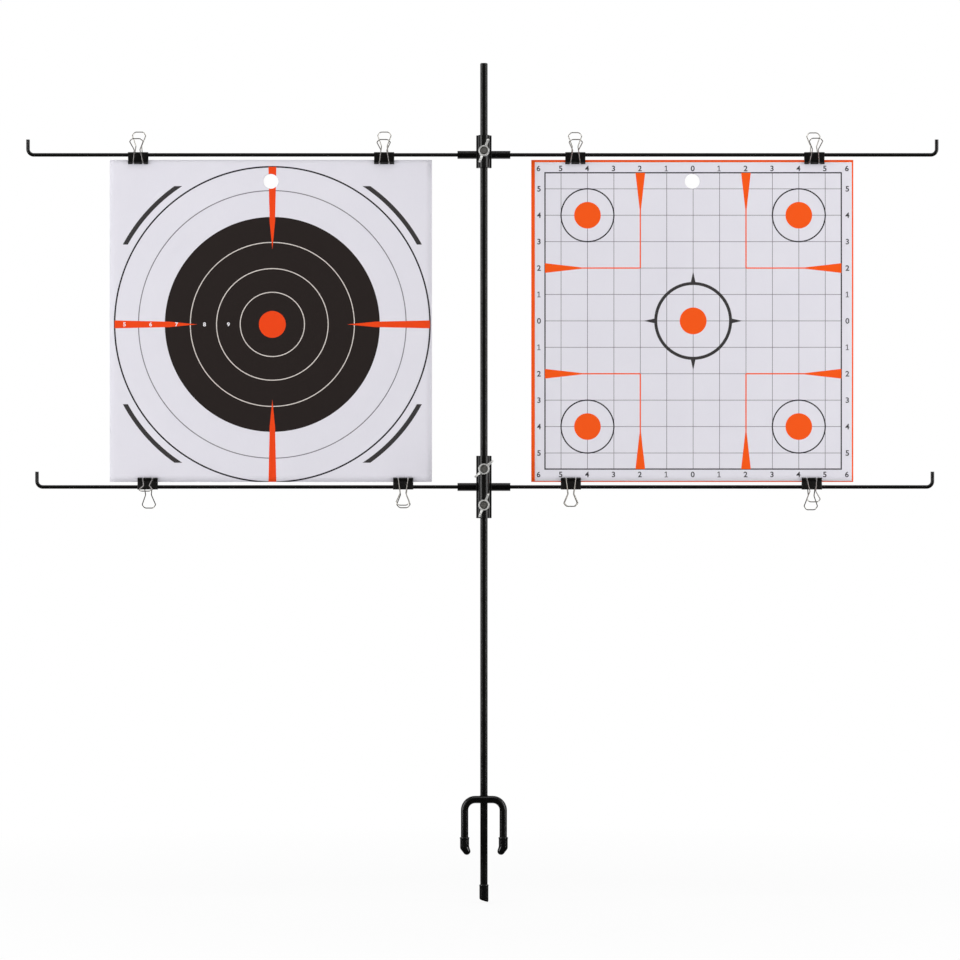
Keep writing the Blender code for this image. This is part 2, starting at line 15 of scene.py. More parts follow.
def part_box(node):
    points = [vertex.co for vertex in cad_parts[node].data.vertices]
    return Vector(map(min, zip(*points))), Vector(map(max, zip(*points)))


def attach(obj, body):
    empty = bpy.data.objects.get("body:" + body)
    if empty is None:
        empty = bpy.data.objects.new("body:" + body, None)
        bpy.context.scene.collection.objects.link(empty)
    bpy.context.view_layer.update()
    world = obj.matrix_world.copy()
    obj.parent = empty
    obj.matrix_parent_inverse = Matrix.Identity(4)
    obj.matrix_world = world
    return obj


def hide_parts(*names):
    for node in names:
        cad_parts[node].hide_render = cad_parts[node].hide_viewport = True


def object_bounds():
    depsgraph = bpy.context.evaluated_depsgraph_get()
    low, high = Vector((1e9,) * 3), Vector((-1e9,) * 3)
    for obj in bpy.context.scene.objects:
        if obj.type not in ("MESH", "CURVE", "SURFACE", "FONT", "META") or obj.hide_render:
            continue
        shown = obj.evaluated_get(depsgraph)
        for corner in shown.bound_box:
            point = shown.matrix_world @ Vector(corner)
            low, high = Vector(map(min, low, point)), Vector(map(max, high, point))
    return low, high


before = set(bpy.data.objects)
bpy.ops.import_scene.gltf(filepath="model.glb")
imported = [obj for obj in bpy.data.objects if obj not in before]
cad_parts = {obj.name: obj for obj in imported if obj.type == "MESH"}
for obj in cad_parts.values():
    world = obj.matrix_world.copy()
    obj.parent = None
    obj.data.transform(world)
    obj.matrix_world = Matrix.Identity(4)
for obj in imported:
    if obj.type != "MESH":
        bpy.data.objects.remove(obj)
solids_low, solids_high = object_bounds()
print(len(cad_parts), "solids, size", [round(v, 4) for v in solids_high - solids_low])

# %% [markdown]
# ## The view
# The cards are seen square on and the lower arms lie level with the eye, so the camera looks
# straight along +Y. The wire handles that lean forwards hardly move aside from those that lean
# back, which puts the camera far away: 4.5 m in front of the arms, behind a long lens.

# %% Camera
HALF_VIEW, CAMERA_TO_ARMS = 0.4543, 4.5
CAMERA_PLACE = (-0.0037, -4.4902, 0.3048)
scene = bpy.context.scene
lens = bpy.data.cameras.new("front_lens")
lens.sensor_width = 36
lens.angle = 2 * atan2(HALF_VIEW, CAMERA_TO_ARMS)
camera = bpy.data.objects.new("front_camera", lens)
camera.location = CAMERA_PLACE
camera.rotation_euler = (radians(90), 0, 0)
scene.collection.objects.link(camera)
scene.camera = camera
scene.view_settings.view_transform = "Standard"
print("lens", round(lens.lens, 1), "mm")

# %% [markdown]
# ## Shader sums written as Python
# A printed card is mostly arithmetic: how far is this point from the middle, is it on a line? One
# small class wraps a socket, so `abs(radius - 30) < 0.5` adds the Math nodes by itself. The class
# `Nodes` looks after the nodes of one material or of the world, and its `node` method makes any
# other kind of node. The class `Finish` is one material, with the ways to vary it.


# %% The class for numbers that vary over a surface
class Varying:
    """A shader socket in a sum. Every operator adds one Math node."""

    def __init__(self, nodes, socket):
        self.nodes = nodes
        self.socket = socket

    def output(self, name):
        """Another output of the node that this one comes from."""
        return Varying(self.nodes, self.socket.node.outputs[name])

    def math(self, operation, first, second):
        return self.nodes.node("ShaderNodeMath", {"operation": operation}, {0: first, 1: second})

    def __add__(self, other):
        return self.math("ADD", self, other)

    def __sub__(self, other):
        return self.math("SUBTRACT", self, other)

    def __rsub__(self, other):
        return self.math("SUBTRACT", other, self)

    def __mul__(self, other):
        return self.math("MULTIPLY", self, other)

    def __truediv__(self, other):
        return self.math("DIVIDE", self, other)

    def __rtruediv__(self, other):
        return self.math("DIVIDE", other, self)

    def __pow__(self, other):
        return self.math("POWER", self, other)

    def __rpow__(self, other):
        return self.math("POWER", other, self)

    def __abs__(self):
        return self.math("ABSOLUTE", self, 0)

    def __lt__(self, other):
        return self.math("LESS_THAN", self, other)

    def __gt__(self, other):
        return self.math("GREATER_THAN", self, other)

    def __and__(self, other):
        return self.math("MINIMUM", self, other)

    def __or__(self, other):
        return self.math("MAXIMUM", self, other)

    def fold(self, reach):
        """A wave that climbs from 0 to reach and falls back, over and over."""
        return self.math("PINGPONG", self, reach)

    __radd__ = __add__
    __rmul__ = __mul__
    __rand__ = __and__
    __ror__ = __or__


# %% The class for a tree of nodes
class Nodes:
    """The nodes of one material or of the world."""

    def __init__(self, owner):
        owner.use_nodes = True
        self.tree = owner.node_tree

    def node(self, kind, settings=None, inputs=None, output=0):
        """Adds a node: its settings first, then numbers or links on its sockets."""
        made = self.tree.nodes.new(kind)
        for setting, value in (settings or {}).items():
            setattr(made, setting, value)
        for socket, value in (inputs or {}).items():
            self.feed(made.inputs[socket], value)
        return Varying(self, made.outputs[output])

    def feed(self, socket, value):
        """Links a number that varies, or sets a plain one."""
        if isinstance(value, Varying):
            self.tree.links.new(value.socket, socket)
        else:
            socket.default_value = value


# %% The class for one finish
class Finish(Nodes):
    """A material, its shader, and the ways to vary it."""

    def __init__(self, name, **constants):
        self.material = bpy.data.materials.new(name)
        super().__init__(self.material)
        self.shader = self.tree.nodes["Principled BSDF"]
        for socket, value in constants.items():
            self.shader.inputs[socket.replace("_", " ")].default_value = value

    def use(self, **sockets):
        """Feeds the shader's sockets by name and hands back the material."""
        for socket, value in sockets.items():
            self.feed(self.shader.inputs[socket.replace("_", " ")], value)
        return self.material

    def place(self):
        """Where the point is on its own object, in metres."""
        return self.node("ShaderNodeTexCoord", output="Object")

    def axes(self):
        """The same as three numbers in millimetres."""
        where = self.node(
            "ShaderNodeVectorMath",
            {"operation": "SCALE"},
            {0: self.place(), "Scale": 1000},
        )
        split = self.node("ShaderNodeSeparateXYZ", inputs={0: where})
        return [split.output(axis) for axis in "XYZ"]

    def noise(self, size, detail=2, stretch=(1, 1, 1), seed=0):
        """Cloudy noise from about 0 to 1, whose spots are about this size in metres."""
        where = self.node(
            "ShaderNodeMapping",
            inputs={
                "Vector": self.place(),
                "Location": (seed, seed, seed),
                "Scale": [s / size for s in stretch],
            },
        )
        return self.node(
            "ShaderNodeTexNoise",
            inputs={"Vector": where, "Scale": 1, "Detail": detail},
            output="Fac",
        )

    def colour(self, share, below, above):
        """The colour above laid over the one below, by a share from 0 to 1."""
        return self.node(
            "ShaderNodeMix",
            {"data_type": "RGBA"},
            {0: share, 6: below, 7: above},
            output=2,
        )

    def relief(self, height, depth):
        """A bump from a height between 0 and 1, this deep in metres."""
        return self.node("ShaderNodeBump", inputs={"Height": height, "Distance": depth})


# %% Colours as a screen shows them
def shade(red, green, blue):
    """A colour read as 0 to 255 on a screen, as the shader wants it."""
    return tuple(((c / 255 + 0.055) / 1.055) ** 2.4 for c in (red, green, blue)) + (1,)


print("paper white", [round(c, 3) for c in shade(220, 218, 226)])

# %% [markdown]
# ## A plain studio
# Two tall soft boxes stand 66 degrees to each side, because a round bar shows each of them as a
# pale line not far from its edge, as on the real post. The world gives the rest of the light,
# more of it from the white backdrop, which lights the plain backs of the cards. The camera sees
# the world as plain white, and so does glossy metal that faces the background.
# What glossy metal mirrors from the front is a dim studio with pale walls and a dark gap where
# the camera stands, and a dark floor, so that black bars stay black down their middle.

# %% Lamps
STAND_MIDDLE = Vector((0, 0, 0.35))
SIDE_WATTS, TOP_WATTS = 17, 6


def soft_box(name, place, width, height, power):
    """A rectangular lamp that faces the middle of the stand."""
    lamp = bpy.data.lights.new(name, "AREA")
    lamp.shape = "RECTANGLE"
    lamp.size = width
    lamp.size_y = height
    lamp.energy = power
    obj = bpy.data.objects.new(name, lamp)
    obj.location = place
    aim = STAND_MIDDLE - Vector(place)
    obj.rotation_euler = aim.to_track_quat("-Z", "Y").to_euler()
    scene.collection.objects.link(obj)


soft_box("left_box", (-1.64, -0.73, 0.55), 0.45, 1.7, SIDE_WATTS)
soft_box("right_box", (1.64, -0.73, 0.45), 0.45, 1.7, SIDE_WATTS)
soft_box("top_box", (0.0, -0.55, 1.90), 1.4, 0.7, TOP_WATTS)
print("three soft boxes,", 2 * SIDE_WATTS + TOP_WATTS, "W in all")

# %% World
AMBIENT = 0.44
BACKDROP = 1.0
STUDIO_DARK = 0.012
SIDE_WALLS = 0.55
world = bpy.data.worlds.new("plain_studio")
scene.world = world
sky = Nodes(world)
background = sky.tree.nodes["Background"]
background.inputs["Color"].default_value = (1, 1, 1, 1)
rays = sky.node("ShaderNodeLightPath")
to_camera = rays.output("Is Camera Ray")
mirrored = rays.output("Is Glossy Ray") | rays.output("Is Transmission Ray")
aim = sky.node("ShaderNodeTexCoord", output="Generated")
sideways = sky.node("ShaderNodeSeparateXYZ", inputs={0: aim}, output="X")
backwards = sideways.output("Y")
walls = (abs(sideways) * 3.0 - 0.9) & SIDE_WALLS
studio = (((backwards * 2.0 - 0.8) | walls) & 1) | STUDIO_DARK
ambient = ((backwards * 2.0 | 0) & 1) * (BACKDROP - AMBIENT) + AMBIENT
lit = (1 - (to_camera | mirrored)) * ambient
shown = mirrored * studio + to_camera
sky.feed(background.inputs["Strength"], lit + shown)
print("world lights the stand at", AMBIENT, "in front and", BACKDROP, "behind")

# %% Floor
FLOOR_RADIUS, FLOOR_DROP = 9, 0.0003


def written(name, solid):
    """The bmesh written out as a new mesh, and let go."""
    mesh = bpy.data.meshes.new(name)
    solid.to_mesh(mesh)
    solid.free()
    return mesh


floor_disc = bmesh.new()
bmesh.ops.create_circle(floor_disc, cap_ends=True, segments=96, radius=FLOOR_RADIUS)
floor_mesh = written("floor", floor_disc)
floor = bpy.data.objects.new("floor", floor_mesh)
floor.location = (0, 0, solids_low.z - FLOOR_DROP)
scene.collection.objects.link(floor)
print("floor", 2 * FLOOR_RADIUS, "m across at z", round(floor.location.z, 4))

# %% The floor's paint
FADE_START, FADE_LENGTH = 300, 700
NEAR_WHITE, FAR_WHITE_MORE = 0.88, 0.12
DARK_FLOOR = 0.02
floor_paint = Finish("floor_paint", Base_Color=(0.82, 0.82, 0.82, 1), Roughness=0.9)


def glow(strength):
    """A plain white glow."""
    inputs = {"Color": (1, 1, 1, 1), "Strength": strength}
    return floor_paint.node("ShaderNodeEmission", inputs=inputs)


def floor_mix(share, below, above):
    """The shader above laid over the one below, by a share from 0 to 1."""
    return floor_paint.node("ShaderNodeMixShader", inputs={0: share, 1: below, 2: above})


across, along, _ = floor_paint.axes()
distance = (across * across + along * along) ** 0.5
far = ((distance - FADE_START) / FADE_LENGTH | 0) & 1
in_front = ((1.8 - 2 * along / distance) | 0) & 1
paths = floor_paint.node("ShaderNodeLightPath")
mirrored_there = paths.output("Is Glossy Ray")
seen = paths.output("Is Camera Ray") * (far * FAR_WHITE_MORE + NEAR_WHITE) | mirrored_there
seen = seen | paths.output("Is Transmission Ray")
surface = floor_mix(seen, Varying(floor_paint, floor_paint.shader.outputs[0]), glow(1))
surface = floor_mix(mirrored_there * in_front, surface, glow(DARK_FLOOR))
floor_paint.feed(floor_paint.tree.nodes["Material Output"].inputs["Surface"], surface)
floor_mesh.materials.append(floor_paint.material)
print("floor fades to white from", FADE_START, "to", FADE_START + FADE_LENGTH, "mm")

# %% [markdown]
# ## Finishes of the metal and the vinyl
# Powder coat is black paint baked from dust, so it is satin with a faint orange-peel skin. The
# clips wear a smoother lacquer, the wings are cast and zinc plated, the screws keep their dark
# thread and the handles are nickel-plated wire. Each is one Principled shader: noise varies its
# roughness and colour a little, and a Bump node gives it its skin.


# %% Powder coat
def powder_coat(name, depth, shine, dull):
    """Satin black. A low shine keeps it near black where nothing bright is mirrored."""
    coat = Finish(name, Specular_IOR_Level=shine)
    skin = coat.noise(0.0011)
    grit = coat.noise(0.0003, detail=1, seed=5)
    rubbed = coat.noise(0.02, detail=4, seed=9)
    return coat.use(
        Base_Color=coat.colour(rubbed, (0.0018, 0.0017, 0.0015, 1), (0.0050, 0.0048, 0.0043, 1)),
        Roughness=rubbed * 0.12 + dull,
        Normal=coat.relief(skin * 0.7 + grit * 0.3, depth),
    )


rod_paint = powder_coat("rod_paint", 0.00002, 0.38, 0.12)
bracket_paint = powder_coat("bracket_paint", 0.00004, 0.28, 0.18)
print("powder coats:", rod_paint.name, bracket_paint.name)


# %% Vinyl and lacquer
def dipped_vinyl():
    """Soft black plastic with a dull bloom."""
    skin = Finish("vinyl", Specular_IOR_Level=0.5)
    bloom = skin.noise(0.006, detail=4)
    return skin.use(
        Base_Color=skin.colour(bloom, (0.0015, 0.0015, 0.0015, 1), (0.0050, 0.0050, 0.0050, 1)),
        Roughness=bloom * 0.12 + 0.07,
        Normal=skin.relief(skin.noise(0.0022, detail=3, seed=3), 0.00010),
    )


def clip_lacquer():
    """Glossy black lacquer on spring steel, with fine rubbing along the strip."""
    lacquer = Finish("clip_steel", Specular_IOR_Level=0.4, Coat_Weight=0.25, Coat_Roughness=0.10)
    rubbing = lacquer.noise(0.0006, detail=3, stretch=(0.12, 1, 1), seed=2)
    return lacquer.use(
        Base_Color=lacquer.colour(
            rubbing, (0.0030, 0.0028, 0.0025, 1), (0.0100, 0.0092, 0.0083, 1)
        ),
        Roughness=rubbing * 0.22 + 0.20,
        Normal=lacquer.relief(lacquer.noise(0.0009), 0.000015),
    )


vinyl, clip_steel = dipped_vinyl(), clip_lacquer()
print("vinyl and lacquer:", vinyl.name, clip_steel.name)


# %% Zinc, dark thread and plated wire
def cast_zinc():
    """Zinc plate on a casting: half bright metal, half pale bloom, and grey in its pits."""
    zinc = Finish("zinc", Metallic=0.45)
    pits = zinc.noise(0.0007, detail=3)
    cloud = zinc.noise(0.004, detail=3, seed=4)
    return zinc.use(
        Base_Color=zinc.colour(
            pits * 0.6 + cloud * 0.4, (0.46, 0.46, 0.44, 1), (0.94, 0.94, 0.92, 1)
        ),
        Roughness=cloud * 0.2 + 0.20,
        Normal=zinc.relief(pits, 0.00008),
    )


def screw_thread():
    """Dark phosphated steel. The thread is a wave along the screw, which lies along Y."""
    steel = Finish("screw_steel", Metallic=0.8)
    _, along_screw, _ = steel.axes()
    thread = along_screw.fold(0.4) / 0.4
    scale = steel.noise(0.0008, detail=4)
    return steel.use(
        Base_Color=steel.colour(scale, (0.04, 0.04, 0.038, 1), (0.46, 0.45, 0.42, 1)),
        Roughness=scale * 0.3 + 0.3,
        Normal=steel.relief(thread * 0.7 + scale * 0.5, 0.0003),
    )


def plated_wire():
    """Nickel plate over drawn wire, a little warm, with tiny dull spots."""
    nickel = Finish("wire", Metallic=1.0)
    spots = nickel.noise(0.0005, detail=3)
    return nickel.use(
        Base_Color=nickel.colour(spots, (0.30, 0.285, 0.255, 1), (0.58, 0.56, 0.51, 1)),
        Roughness=spots * 0.18 + 0.12,
        Normal=nickel.relief(nickel.noise(0.0003, detail=1, seed=7), 0.00001),
    )


zinc, screw_steel, wire = cast_zinc(), screw_thread(), plated_wire()
print("metals:", zinc.name, screw_steel.name, wire.name)

# %% All of them by name
FINISHES = {
    "rod_paint": rod_paint,
    "bracket_paint": bracket_paint,
    "vinyl": vinyl,
    "clip_steel": clip_steel,
    "zinc": zinc,
    "screw_steel": screw_steel,
    "wire": wire,
}
print("finishes:", ", ".join(FINISHES))

# %% [markdown]
# ## Dressing the solids that stay
# The posts, brackets, tubes and screw studs already have their true shape. They only change their
# material, in the slot of their object.

# %% Carried-over solids
SOLIDS = {
    "rod_paint": ["lower_post", "upper_post"],
    "bracket_paint": ["upper_bracket", "lower_bracket", "upper_cross_tube", "lower_cross_tube"],
    "screw_steel": ["upper_clamp_stud", "lower_clamp_top_stud", "lower_clamp_bottom_stud"],
}
for slot_name, names in SOLIDS.items():
    for name in names:
        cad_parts[name].material_slots[0].material = FINISHES[slot_name]
        print(name, "wears", slot_name)


# %% [markdown]
# ## Tools for making pieces
# Most of this stand is bent bar. A list of corners, each with its bend radius, becomes a smooth
# path, and a curve with a round bevel turns the path into a bar. This is how a bender works too,
# so the bends come out right without any drawing by hand.


# %% A path with rounded corners
ARC_SHARE = 0.45


def bent_path(corners, step=radians(9)):
    """Points along straight runs joined by arcs. Each corner is (point, bend radius)."""
    points = [Vector(corners[0][0])]
    for before, (corner, radius), after in zip(corners, corners[1:-1], corners[2:]):
        corner = Vector(corner)
        towards = Vector(before[0]) - corner
        onwards = Vector(after[0]) - corner
        run = ARC_SHARE * min(towards.length, onwards.length)
        half = towards.angle(onwards) / 2
        run = min(run, radius / tan(half))
        towards.normalize()
        onwards.normalize()
        centre = corner + (towards + onwards).normalized() * (run / cos(half))
        start = corner + towards * run - centre
        bend = pi - 2 * half
        steps = max(2, round(bend / step))
        for i in range(steps + 1):
            turn = Matrix.Rotation(-bend * i / steps, 3, towards.cross(onwards))
            points.append(centre + turn @ start)
    points.append(Vector(corners[-1][0]))
    return points


def other_side(corners):
    """The same corners mirrored about X = 0, in reverse order."""
    return [((-x, y, z), radius) for (x, y, z), radius in reversed(corners)]


elbow = bent_path([((1, 0, 0), 0), ((0, 0, 0), 0.2), ((0, 1, 0), 0)])
print("a square corner bends in", len(elbow), "points")

# %% A mesh from a curve, and a round bar
SAME_POINT = 1e-6


def smooth(mesh, angle=40):
    """Smooth shading, but sharp where the faces turn by more than this angle."""
    mesh.shade_smooth()
    mesh.set_sharp_from_angle(angle=radians(angle))
    return mesh


def curve_to_mesh(name, curve):
    """The curve as a closed mesh with its ends joined on."""
    drawn = bpy.data.objects.new(name + "_drawn", curve)
    scene.collection.objects.link(drawn)
    bpy.context.view_layer.update()
    graph = bpy.context.evaluated_depsgraph_get()
    mesh = bpy.data.meshes.new_from_object(drawn.evaluated_get(graph))
    bpy.data.objects.remove(drawn)
    mesh.name = name
    solid = bmesh.new()
    solid.from_mesh(mesh)
    bmesh.ops.remove_doubles(solid, verts=solid.verts, dist=SAME_POINT)
    bmesh.ops.recalc_face_normals(solid, faces=solid.faces)
    solid.to_mesh(mesh)
    solid.free()
    return smooth(mesh)


def bar_mesh(name, points, radius, sides):
    """A round bar along the points, with flat ends."""
    curve = bpy.data.curves.new(name, "CURVE")
    curve.dimensions = "3D"
    curve.bevel_depth = radius
    curve.bevel_resolution = (sides - 4) // 2
    curve.use_fill_caps = True
    spline = curve.splines.new("POLY")
    spline.points.add(len(points) - 1)
    for slot, point in zip(spline.points, points):
        slot.co = (*point, 1)
    return curve_to_mesh(name, curve)


print("points within", SAME_POINT * 1000, "mm of each other are joined")


# %% One piece, on its body, in its finish
def piece(name, mesh, body, slot_name, matrix=Matrix(), instead_of=None):
    """Puts a mesh on the stand as one piece, and hides the solid that it stands for."""
    obj = bpy.data.objects.new(name, mesh)
    scene.collection.objects.link(obj)
    obj.matrix_world = matrix
    if not mesh.materials:
        mesh.materials.append(FINISHES[slot_name])
    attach(obj, body)
    if instead_of:
        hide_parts(instead_of)
    return obj


def middle(node):
    """The middle of a solid's box."""
    low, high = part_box(node)
    return (low + high) / 2


print("the left card's middle is at", [round(v, 4) for v in middle("left_target_card")])

# %% A turned shape
LATHE_SIDES = 48


def lathe(name, profile):
    """A turned shape about Z from (radius, height) pairs, closed where a radius is 0."""
    solid = bmesh.new()
    rings = []
    for radius, height in profile:
        if radius == 0:
            rings.append([solid.verts.new((0, 0, height))])
            continue
        turns = [2 * pi * i / LATHE_SIDES for i in range(LATHE_SIDES)]
        rings.append([solid.verts.new((radius * cos(t), radius * sin(t), height)) for t in turns])
    for low, high in zip(rings, rings[1:]):
        for i in range(LATHE_SIDES):
            j = (i + 1) % LATHE_SIDES
            corners = [low[i % len(low)], low[j % len(low)]]
            corners += [high[j % len(high)], high[i % len(high)]]
            solid.faces.new(list(dict.fromkeys(corners)))
    bmesh.ops.recalc_face_normals(solid, faces=solid.faces)
    return smooth(written(name, solid))


print("a turned shape has", LATHE_SIDES, "sides")

# %% [markdown]
# ## Step bar and arms
# The step bar is a bar bent into a U, and the arms are thinner bars that turn up at the end. Both
# are drawn again here with finer bends than the solids have, because the pale line that runs
# along a round bar shows every flat in a bend. The step bar's prongs hook a little inwards at
# their tips, which are inside the caps. Nobody sees them there, so the bar stops where the hooks
# begin, and the caps further down take their bend.

# %% Step bar
BAR_RADIUS, BAR_BEND = 0.00355, 0.010
PRONG_DEPTH, CAP_FLOOR = 0.0474, 0.0009
HOOK_LENGTH, HOOK_ANGLE = 0.0055, radians(28)
HIDDEN_END = 0.0005
step_low, step_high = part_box("step_bar")
prong_x = step_high.x - BAR_RADIUS
bar_y = (step_low.y + step_high.y) / 2
prong_end = CAP_FLOOR - PRONG_DEPTH
hook_x = prong_x - HOOK_LENGTH * sin(HOOK_ANGLE)
hook_top = prong_end + HOOK_LENGTH * cos(HOOK_ANGLE)
right_half = [
    ((prong_x, bar_y, step_high.z - BAR_RADIUS), BAR_BEND),
    ((prong_x, bar_y, hook_top - HIDDEN_END), 0),
]
step_path = bent_path(other_side(right_half) + right_half)
step_bar = piece(
    "step_bar_bent",
    bar_mesh("step_bar_bent", step_path, BAR_RADIUS, 32),
    "stake",
    "rod_paint",
    instead_of="step_bar",
)
print("step bar", [round(v, 4) for v in step_bar.dimensions])

# %% Arms
ARM_RADIUS, ARM_BEND = 0.00175, 0.0055
for level in ("upper", "lower"):
    for side, way in (("left", -1), ("right", 1)):
        node = f"{level}_{side}_arm"
        low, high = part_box(node)
        inner, outer = (low.x, high.x) if way == 1 else (high.x, low.x)
        hook = outer - way * ARM_RADIUS
        axis_y, axis_z = (low.y + high.y) / 2, low.z + ARM_RADIUS
        path = bent_path(
            [
                ((inner, axis_y, axis_z), 0),
                ((hook, axis_y, axis_z), ARM_BEND),
                ((hook, axis_y, high.z), 0),
            ]
        )
        arm = bar_mesh(node + "_bent", path, ARM_RADIUS, 20)
        piece(node + "_bent", arm, node, "rod_paint", instead_of=node)
        print(node, "runs from", round(inner, 4), "to", round(outer, 4))

# %% [markdown]
# ## Spring clips
# A spring clip is one strip of steel: a flat spine, two sloping jaws and, at their ends, a roll
# that the handle's feet turn in. The strip is drawn as a section, pulled out to the clip's width
# and left open where the handle's legs pass. A Solidify step then gives it the steel's
# thickness, and a small bevel catches the light as the real sheared edges do.

# %% The strip's section
CLIP_HEIGHT, CLIP_HALF_DEPTH, CLIP_HALF_WIDTH = 0.0113, 0.0045, 0.0095
CLIP_WALL, CARD_THICKNESS, WIRE_RADIUS = 0.0004, 0.0004, 0.0005
GAP, WIRE_PLAY = 0.0003, 0.00015
SPINE_BEND, ROLL_TURN, SLOT_RISE = 0.0009, radians(285), 0.0007
SHEARED_EDGE = 0.00007
SPINE_HEIGHT = ARM_RADIUS + GAP + CLIP_WALL / 2
ROLL_RADIUS = WIRE_RADIUS + WIRE_PLAY + CLIP_WALL / 2
ROLL_HEIGHT = SPINE_HEIGHT + CLIP_WALL / 2 - CLIP_HEIGHT + CLIP_WALL / 2 + ROLL_RADIUS
JAW_TIP = CARD_THICKNESS / 2 + GAP + CLIP_WALL / 2
JAW_HEAD = CLIP_HALF_DEPTH - CLIP_WALL / 2
LEG_X = 0.0046
SLOT_HALF = WIRE_RADIUS + GAP
SLOT_HEAD = ROLL_HEIGHT + ROLL_RADIUS + SLOT_RISE
roll_y = -(JAW_TIP + ROLL_RADIUS)
jaw_slope = atan2(JAW_HEAD - JAW_TIP, SPINE_HEIGHT - ROLL_HEIGHT)


def strip_section():
    """(y, z) along the strip's middle line, from the front roll over the spine to the back one."""
    half = []
    steps = 20
    for i in range(steps + 1):
        angle = jaw_slope - ROLL_TURN * (1 - i / steps)
        half.append((roll_y + ROLL_RADIUS * cos(angle), ROLL_HEIGHT + ROLL_RADIUS * sin(angle)))
    foot = Vector((0, *half[-1]))
    corner = Vector((0, -JAW_HEAD, SPINE_HEIGHT))
    up = (SLOT_HEAD - foot.z) / (corner.z - foot.z)
    half.append(tuple(foot.lerp(corner, up))[1:])
    bend = bent_path([(foot, 0), (corner, SPINE_BEND), (Vector((0, 0, SPINE_HEIGHT)), 0)])
    half += [(point.y, point.z) for point in bend[1:-1]]
    return half + [(-y, z) for y, z in reversed(half)]


print("strip section has", len(strip_section()), "points, slope", round(jaw_slope, 3))


# %% The strip itself
def strip_mesh(name):
    """The section drawn out to the clip's width, with the two slots left open."""
    section = strip_section()
    edges = [-CLIP_HALF_WIDTH, -LEG_X - SLOT_HALF, -LEG_X + SLOT_HALF]
    edges += [LEG_X - SLOT_HALF, LEG_X + SLOT_HALF, CLIP_HALF_WIDTH]
    solid = bmesh.new()
    rows = [[solid.verts.new((x, y, z)) for y, z in section] for x in edges]
    for band in range(5):
        left, right = rows[band], rows[band + 1]
        for i in range(len(section) - 1):
            lowest = min(section[i][1], section[i + 1][1])
            if band in (1, 3) and lowest < SLOT_HEAD - SAME_POINT:
                continue
            solid.faces.new((left[i], left[i + 1], right[i + 1], right[i]))
    loose = [vertex for vertex in solid.verts if not vertex.link_faces]
    bmesh.ops.delete(solid, geom=loose, context="VERTS")
    return smooth(written(name, solid), 50)


print("a strip is", 2000 * CLIP_HALF_WIDTH, "mm wide and has two slots")

# %% The wire handle
FOOT_LENGTH = 0.0034


def handle_mesh(name):
    """Out of one roll, in to the neck, round the loop and back into the roll."""
    half = [
        ((LEG_X + FOOT_LENGTH, 0, 0), 0),
        ((LEG_X, 0, 0), 0.0007),
        ((0.0027, 0, 0.0178), 0.0040),
        ((0.0064, 0, 0.0288), 0.0020),
        ((0.0040, 0, 0.0325), 0.0030),
    ]
    return bar_mesh(name, bent_path(half + other_side(half)), WIRE_RADIUS, 14)


print("a handle is bent from wire", 2000 * WIRE_RADIUS, "mm thick")

# %% Eight clips
# How far the front and the back handle of each clip lean, in degrees.
LEANS = {
    "upper_left_outer": (49, 21),
    "upper_left_inner": (51, 21),
    "upper_right_inner": (51, 23),
    "upper_right_outer": (48, 24),
    "lower_left_outer": (69, 31),
    "lower_left_inner": (40, 32),
    "lower_right_inner": (37, 36),
    "lower_right_outer": (48, 25),
}
for clip, leans in LEANS.items():
    upper = clip.startswith("upper")
    low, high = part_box(clip + "_clip")
    spine = high.z if upper else low.z
    drop = SPINE_HEIGHT + CLIP_WALL / 2
    centre = middle(clip + "_clip")
    centre.z = spine - drop if upper else spine + drop
    stand_up = Matrix.Translation(centre) @ Matrix.Rotation(0 if upper else pi, 4, "Y")
    name = clip + "_strip"
    strip = piece(
        name,
        strip_mesh(name),
        "crossarm" if upper else "stake",
        "clip_steel",
        stand_up,
        instead_of=clip + "_clip",
    )
    thick = strip.modifiers.new("steel", "SOLIDIFY")
    thick.thickness = CLIP_WALL
    thick.offset = 0
    thick.use_even_offset = True
    eased = strip.modifiers.new("sheared_edges", "BEVEL")
    eased.width = SHEARED_EDGE
    eased.segments = 2
    eased.angle_limit = radians(50)
    for face, way, lean in (("front", -1, leans[0]), ("back", 1, leans[1])):
        node = f"{clip}_{face}_handle"
        turn = Matrix.Rotation(-way * radians(lean), 4, "X")
        hung = stand_up @ Matrix.Translation((0, -way * roll_y, ROLL_HEIGHT)) @ turn
        piece(node + "_wire", handle_mesh(node + "_wire"), node, "wire", hung, instead_of=node)
    print(clip, "at x", round(centre.x, 4))

# %% [markdown]
# ## Cards
# A card is thin stiff paper, never quite flat between its clips. It is a grid of small faces with
# a ring of them round the punched hole, bowed by a sum of slow waves. The bow dies out at the top
# and bottom edges, where the clips hold the card straight.

# %% The card's sheet
CARD_SIDE = 0.3048
HALF = CARD_SIDE / 2
HOLE_RADIUS = 0.007
HOLE_DROP = 0.0203
HOLE_BLOCK = 0.0127
SIDE_CELLS, HOLE_CELLS, CELLS_BELOW, CELLS_ABOVE = 22, 8, 43, 2
BOW_DEPTH = 0.0007
WAVE_PACE, WAVE_START = 2.2, 0.8


def bow(x, z):
    """How far the card stands forward (-Y) of its plane here, in metres."""
    held = cos(pi * z / CARD_SIDE)
    edge = (x / HALF) ** 2
    return -held * (BOW_DEPTH + BOW_DEPTH * edge * sin(WAVE_PACE * z / HALF + WAVE_START))


def spaced(start, end, count):
    """Evenly spaced places from the start on, without the end."""
    return [start + (end - start) * i / count for i in range(count)]


print("a card bows", round(-bow(0, 0) * 1000, 2), "mm forwards at its middle")


